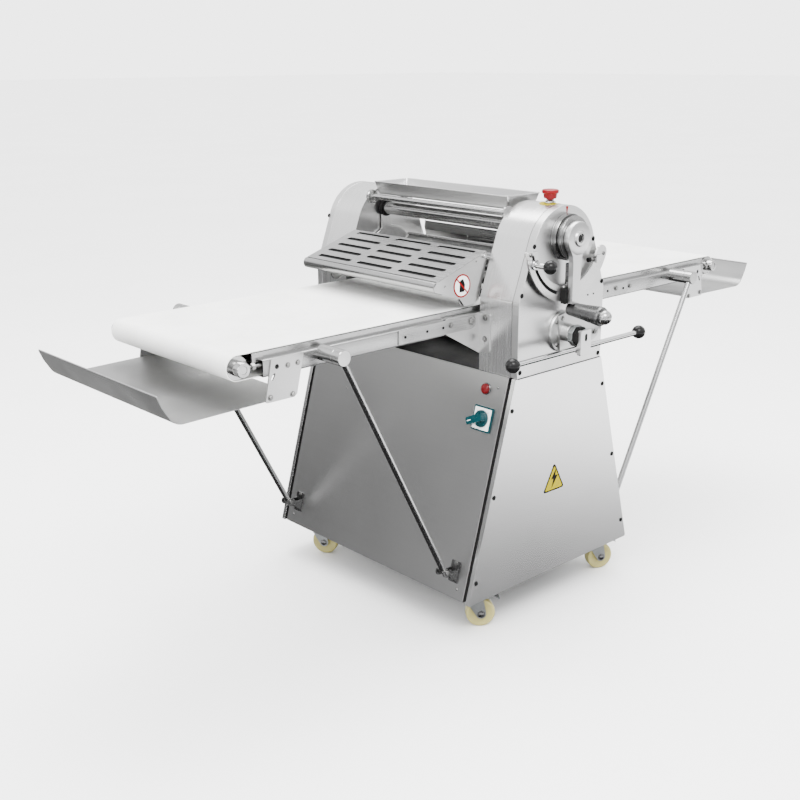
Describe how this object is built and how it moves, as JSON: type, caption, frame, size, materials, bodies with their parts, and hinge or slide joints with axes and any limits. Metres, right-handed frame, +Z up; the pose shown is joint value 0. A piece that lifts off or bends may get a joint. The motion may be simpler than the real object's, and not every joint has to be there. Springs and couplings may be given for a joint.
{
  "type": "dough sheeter",
  "caption": "Floor-standing reversible dough sheeter with folding belt tables, sheeting rollers between steel housings, finger guards and a leaning cabinet on casters.",
  "frame": {"origin": "on the floor, under the middle of the overall box", "axes": "+X along the belts, operator on the -Y side, +Z up"},
  "size_m": [2.262, 0.981, 1.1565],
  "materials": {
    "stainless": "fine brushed stainless sheet",
    "dull_steel": "dull machined steel",
    "chrome": "polished plating",
    "zinc": "bright zinc plating",
    "cast": "satin cast and turned aluminium",
    "black_paint": "satin black paint",
    "motor_paint": "dark blue enamel",
    "belt": "white coated woven belt",
    "black_rubber": "black ribbed rubber",
    "black_knob": "polished black plastic",
    "nylon": "cream nylon",
    "red": "red plastic",
    "grey_plastic": "grey plastic",
    "white_plastic": "white plastic",
    "teal": "dark teal plastic"
  },
  "bodies": {
    "base": {"base_frame": "black_paint", "front_panel": "stainless", "rear_panel": "stainless", "left_panel": "stainless", "right_panel": "stainless", "motor": "motor_paint", "drive_belt": "black_rubber", "front_housing": "stainless", "rear_housing": "stainless", "flour_tray": "dull_steel", "tie_rod_left": "chrome", "tie_rod_right": "chrome", "e_stop_base": "grey_plastic", "index_quadrant": "cast", "shift_flange": "cast", "switch_plate": "white_plastic", "pilot_lamp": "red", "strut_hook_left_front": "zinc", "strut_hook_left_rear": "zinc", "strut_hook_right_front": "zinc", "strut_hook_right_rear": "zinc", "table_bracket_left": "stainless", "table_bracket_right": "stainless"},
    "lower_roller_body": {"lower_roller": "chrome", "driven_pulley": "cast"},
    "upper_roller_body": {"upper_roller": "chrome"},
    "roller_carriage": {"roller_yoke": "dull_steel"},
    "motor_pulley_body": {"motor_pulley": "cast"},
    "gap_lever_body": {"gap_lever": "stainless", "gap_dial": "cast"},
    "stop_knob_body": {"stop_knob": "black_knob"},
    "shift_lever_body": {"shift_lever": "stainless"},
    "e_stop_body": {"e_stop_button": "red"},
    "switch_body": {"switch_knob": "teal"},
    "table_left": {"table_frame_left": "stainless", "belt_left": "belt", "catch_tray_left": "dull_steel"},
    "drive_roller_left_body": {"drive_roller_left": "dull_steel"},
    "tail_roller_left_body": {"tail_roller_left": "dull_steel"},
    "guard_rod_left_body": {"guard_rod_left": "chrome"},
    "guard_left_body": {"guard_left": "stainless"},
    "strut_left_front_body": {"strut_left_front": "chrome"},
    "strut_left_rear_body": {"strut_left_rear": "chrome"},
    "table_right": {"table_frame_right": "stainless", "belt_right": "belt", "catch_tray_right": "dull_steel"},
    "drive_roller_right_body": {"drive_roller_right": "dull_steel"},
    "tail_roller_right_body": {"tail_roller_right": "dull_steel"},
    "guard_rod_right_body": {"guard_rod_right": "chrome"},
    "guard_right_body": {"guard_right": "stainless"},
    "strut_right_front_body": {"strut_right_front": "chrome"},
    "strut_right_rear_body": {"strut_right_rear": "chrome"},
    "caster_fork_front_left_body": {"caster_fork_front_left": "zinc"},
    "caster_wheel_front_left_body": {"caster_wheel_front_left": "nylon"},
    "caster_fork_front_right_body": {"caster_fork_front_right": "zinc"},
    "caster_wheel_front_right_body": {"caster_wheel_front_right": "nylon"},
    "caster_fork_rear_left_body": {"caster_fork_rear_left": "zinc"},
    "caster_wheel_rear_left_body": {"caster_wheel_rear_left": "nylon"},
    "caster_fork_rear_right_body": {"caster_fork_rear_right": "zinc"},
    "caster_wheel_rear_right_body": {"caster_wheel_rear_right": "nylon"}
  },
  "joints": [
    {"name": "lower_roller_spin", "type": "hinge", "parent": "base", "child": "lower_roller_body", "pos_m": [0, 0.0685, 0.818], "axis": [0, 1, 0], "continuous": true},
    {"name": "motor_pulley_spin", "type": "hinge", "parent": "base", "child": "motor_pulley_body", "pos_m": [0.04, 0.3995, 0.205], "axis": [0, 1, 0], "continuous": true},
    {"name": "gap_lever_turn", "type": "hinge", "parent": "base", "child": "gap_lever_body", "pos_m": [0, -0.3355, 1.04], "axis": [0, -1, 0], "range_deg": [-50, 32]},
    {"name": "roller_carriage_lift", "type": "slide", "parent": "base", "child": "roller_carriage", "axis": [0, 0, 1], "range_m": [-0.0151, 0.0098]},
    {"name": "upper_roller_spin", "type": "hinge", "parent": "roller_carriage", "child": "upper_roller_body", "pos_m": [0, 0.0685, 0.922], "axis": [0, 1, 0], "continuous": true},
    {"name": "stop_knob_slide", "type": "hinge", "parent": "base", "child": "stop_knob_body", "pos_m": [0, -0.3355, 1.04], "axis": [0, -1, 0], "range_deg": [0, 40]},
    {"name": "shift_lever_turn", "type": "hinge", "parent": "base", "child": "shift_lever_body", "pos_m": [0, -0.3355, 0.792], "axis": [0, -1, 0], "range_deg": [-20, 20]},
    {"name": "e_stop_press", "type": "slide", "parent": "base", "child": "e_stop_body", "axis": [0, 0, 1], "range_m": [-0.004, 0], "stiffness_N_per_m": 500, "springref_m": 0.001},
    {"name": "switch_turn", "type": "hinge", "parent": "base", "child": "switch_body", "pos_m": [-0.20712, -0.2535, 0.576], "axis": [-0.9637, 0, 0.2669], "range_deg": [0, 90]},
    {"name": "left_table_fold", "type": "hinge", "parent": "base", "child": "table_left", "pos_m": [-0.206, 0.0685, 0.83], "axis": [0, -1, 0], "range_deg": [-65, 0]},
    {"name": "left_drive_roller_spin", "type": "hinge", "parent": "table_left", "child": "drive_roller_left_body", "pos_m": [-0.09, 0.0685, 0.8327], "axis": [0, 1, 0], "continuous": true},
    {"name": "left_tail_roller_spin", "type": "hinge", "parent": "table_left", "child": "tail_roller_left_body", "pos_m": [-0.916, 0.0685, 0.8327], "axis": [0, 1, 0], "continuous": true},
    {"name": "left_front_strut_swing", "type": "hinge", "parent": "table_left", "child": "strut_left_front_body", "pos_m": [-0.693, -0.2665, 0.8327], "axis": [0, -1, 0], "range_deg": [0, 38]},
    {"name": "left_rear_strut_swing", "type": "hinge", "parent": "table_left", "child": "strut_left_rear_body", "pos_m": [-0.693, 0.4035, 0.8327], "axis": [0, -1, 0], "range_deg": [0, 38]},
    {"name": "left_guard_rod_turn", "type": "hinge", "parent": "base", "child": "guard_rod_left_body", "pos_m": [-0.152, 0.0685, 0.99], "axis": [0, 1, 0], "range_deg": [0, 105]},
    {"name": "left_guard_lift", "type": "hinge", "parent": "guard_rod_left_body", "child": "guard_left_body", "pos_m": [-0.152, 0.0685, 0.99], "axis": [0, 1, 0], "range_deg": [0, 105]},
    {"name": "right_table_fold", "type": "hinge", "parent": "base", "child": "table_right", "pos_m": [0.206, 0.0685, 0.83], "axis": [0, 1, 0], "range_deg": [-65, 0]},
    {"name": "right_drive_roller_spin", "type": "hinge", "parent": "table_right", "child": "drive_roller_right_body", "pos_m": [0.09, 0.0685, 0.8327], "axis": [0, 1, 0], "continuous": true},
    {"name": "right_tail_roller_spin", "type": "hinge", "parent": "table_right", "child": "tail_roller_right_body", "pos_m": [0.916, 0.0685, 0.8327], "axis": [0, 1, 0], "continuous": true},
    {"name": "right_front_strut_swing", "type": "hinge", "parent": "table_right", "child": "strut_right_front_body", "pos_m": [0.693, -0.2665, 0.8327], "axis": [0, 1, 0], "range_deg": [0, 38]},
    {"name": "right_rear_strut_swing", "type": "hinge", "parent": "table_right", "child": "strut_right_rear_body", "pos_m": [0.693, 0.4035, 0.8327], "axis": [0, 1, 0], "range_deg": [0, 38]},
    {"name": "right_guard_rod_turn", "type": "hinge", "parent": "base", "child": "guard_rod_right_body", "pos_m": [0.152, 0.0685, 0.99], "axis": [0, -1, 0], "range_deg": [0, 105]},
    {"name": "right_guard_lift", "type": "hinge", "parent": "guard_rod_right_body", "child": "guard_right_body", "pos_m": [0.152, 0.0685, 0.99], "axis": [0, -1, 0], "range_deg": [0, 105]},
    {"name": "front_left_caster_swivel", "type": "hinge", "parent": "base", "child": "caster_fork_front_left_body", "pos_m": [-0.26, -0.2615, 0.04], "axis": [0, 0, 1], "continuous": true},
    {"name": "front_left_wheel_spin", "type": "hinge", "parent": "caster_fork_front_left_body", "child": "caster_wheel_front_left_body", "pos_m": [-0.23444, -0.28076, 0.04], "axis": [0.6018, 0.7986, 0], "continuous": true},
    {"name": "front_right_caster_swivel", "type": "hinge", "parent": "base", "child": "caster_fork_front_right_body", "pos_m": [0.26, -0.2615, 0.04], "axis": [0, 0, 1], "continuous": true},
    {"name": "front_right_wheel_spin", "type": "hinge", "parent": "caster_fork_front_right_body", "child": "caster_wheel_front_right_body", "pos_m": [0.28923, -0.27452, 0.04], "axis": [0.4067, 0.9135, 0], "continuous": true},
    {"name": "rear_left_caster_swivel", "type": "hinge", "parent": "base", "child": "caster_fork_rear_left_body", "pos_m": [-0.26, 0.3985, 0.04], "axis": [0, 0, 1], "continuous": true},
    {"name": "rear_left_wheel_spin", "type": "hinge", "parent": "caster_fork_rear_left_body", "child": "caster_wheel_rear_left_body", "pos_m": [-0.244, 0.37079, 0.04], "axis": [0.866, 0.5, 0], "continuous": true},
    {"name": "rear_right_caster_swivel", "type": "hinge", "parent": "base", "child": "caster_fork_rear_right_body", "pos_m": [0.26, 0.3985, 0.04], "axis": [0, 0, 1], "continuous": true},
    {"name": "rear_right_wheel_spin", "type": "hinge", "parent": "caster_fork_rear_right_body", "child": "caster_wheel_rear_right_body", "pos_m": [0.28141, 0.42228, 0.04], "axis": [-0.7431, 0.6691, 0], "continuous": true}
  ],
  "couplings": [
    {"joint": "motor_pulley_spin", "follows": "lower_roller_spin", "ratio": 2.299},
    {"joint": "roller_carriage_lift", "follows": "gap_lever_turn", "m_per_rad": 0.01719},
    {"joint": "upper_roller_spin", "follows": "lower_roller_spin", "ratio": -1},
    {"joint": "left_drive_roller_spin", "follows": "lower_roller_spin", "ratio": 1.467},
    {"joint": "left_tail_roller_spin", "follows": "lower_roller_spin", "ratio": 1.467},
    {"joint": "left_front_strut_swing", "follows": "left_table_fold", "ratio": -0.578},
    {"joint": "left_rear_strut_swing", "follows": "left_table_fold", "ratio": -0.578},
    {"joint": "left_guard_rod_turn", "follows": "left_table_fold", "ratio": -1.615},
    {"joint": "right_drive_roller_spin", "follows": "lower_roller_spin", "ratio": 1.467},
    {"joint": "right_tail_roller_spin", "follows": "lower_roller_spin", "ratio": 1.467},
    {"joint": "right_front_strut_swing", "follows": "right_table_fold", "ratio": -0.578},
    {"joint": "right_rear_strut_swing", "follows": "right_table_fold", "ratio": -0.578},
    {"joint": "right_guard_rod_turn", "follows": "right_table_fold", "ratio": -1.615}
  ]
}
